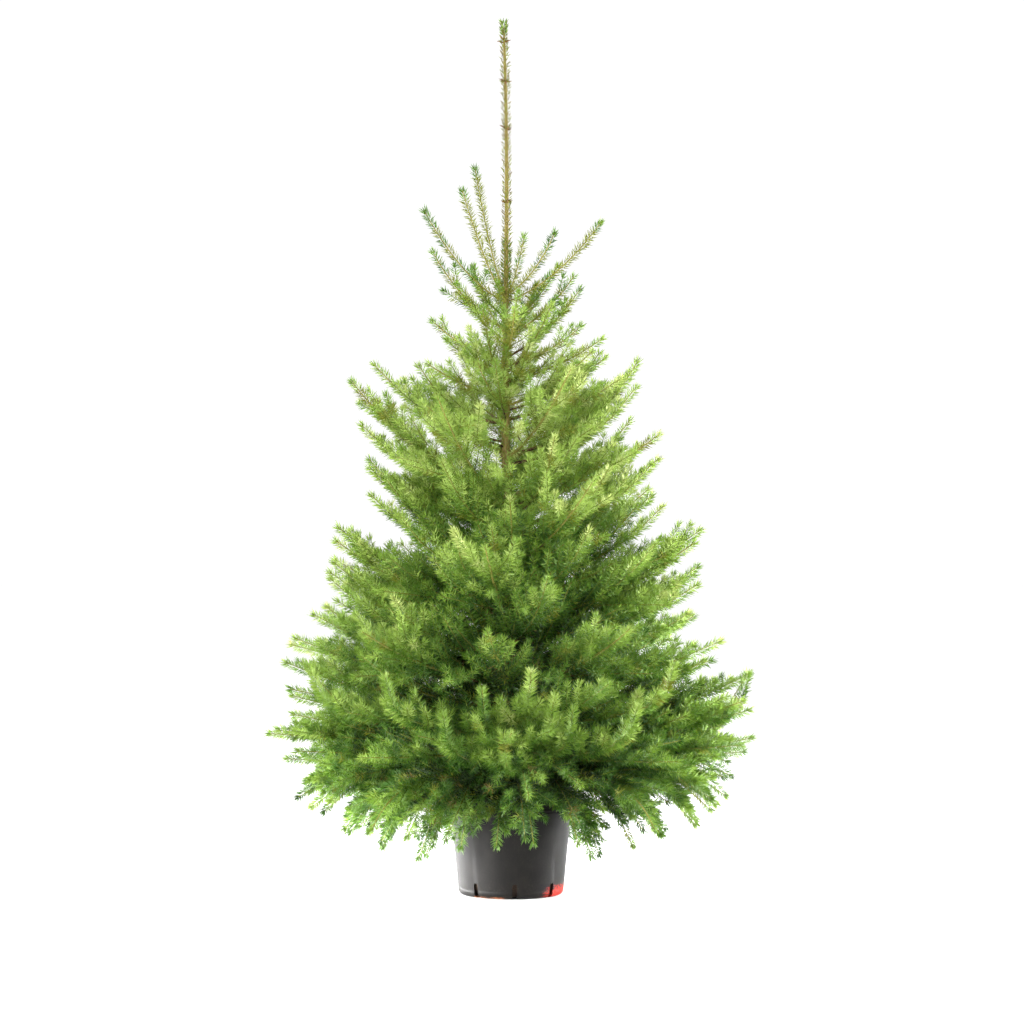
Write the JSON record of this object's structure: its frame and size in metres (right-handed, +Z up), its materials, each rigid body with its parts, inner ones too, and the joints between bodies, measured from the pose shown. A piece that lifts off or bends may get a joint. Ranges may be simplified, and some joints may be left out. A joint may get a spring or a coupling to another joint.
{
  "type": "potted spruce tree",
  "caption": "Young pot-grown spruce: a straight trunk with a bare leader, whorls of rising needled boughs down to the rim, and a round tapered nursery pot with drainage slots.",
  "frame": {"origin": "middle of the pot's flat underside, on the surface it stands on", "axes": "+Z up along the trunk, +X to the right and -Y towards the viewer of the picture"},
  "size_m": [0.9654, 0.9247, 1.7518],
  "materials": {
    "pot": "dull dark grey moulded plastic",
    "soil": "moist peat soil",
    "bark": "rough young bark",
    "foliage": "fresh green needles"
  },
  "bodies": {
    "root": {"bough_lower_a1": "bark", "bough_lower_a2": "bark", "bough_lower_a3": "bark", "bough_lower_a4": "bark", "bough_lower_b1": "bark", "bough_lower_b2": "bark", "bough_lower_b3": "bark", "bough_lower_b4": "bark", "bough_lower_c1": "bark", "bough_lower_c2": "bark", "bough_lower_c3": "bark", "bough_lower_c4": "bark", "mass_crown_a1": "foliage", "mass_crown_a2": "foliage", "mass_crown_a3": "foliage", "mass_crown_a4": "foliage", "mass_crown_a5": "foliage", "mass_crown_a6": "foliage", "mass_crown_b1": "foliage", "mass_crown_b2": "foliage", "mass_crown_b3": "foliage", "mass_crown_c1": "foliage", "mass_crown_c2": "foliage", "mass_crown_c3": "foliage", "mass_crown_d1": "foliage", "mass_crown_d2": "foliage", "mass_crown_d3": "foliage", "mass_crown_d4": "foliage", "mass_crown_e1": "foliage", "mass_crown_e2": "foliage", "mass_crown_e3": "foliage", "mass_crown_e4": "foliage", "mass_leader_tuft": "foliage", "mass_lower_a1": "foliage", "mass_lower_a2": "foliage", "mass_lower_a3": "foliage", "mass_lower_a4": "foliage", "mass_lower_b1": "foliage", "mass_lower_b2": "foliage", "mass_lower_b3": "foliage", "mass_lower_b4": "foliage", "mass_lower_c1": "foliage", "mass_lower_c2": "foliage", "mass_lower_c3": "foliage", "mass_lower_c4": "foliage", "mass_middle_a1": "foliage", "mass_middle_a2": "foliage", "mass_middle_a3": "foliage", "mass_middle_a4": "foliage", "mass_middle_b1": "foliage", "mass_middle_b2": "foliage", "mass_middle_b3": "foliage", "mass_middle_b4": "foliage", "mass_skirt1": "foliage", "mass_skirt2": "foliage", "mass_skirt3": "foliage", "mass_skirt4": "foliage", "pot": "pot", "soil": "soil", "trunk": "bark"}
  },
  "joints": []
}
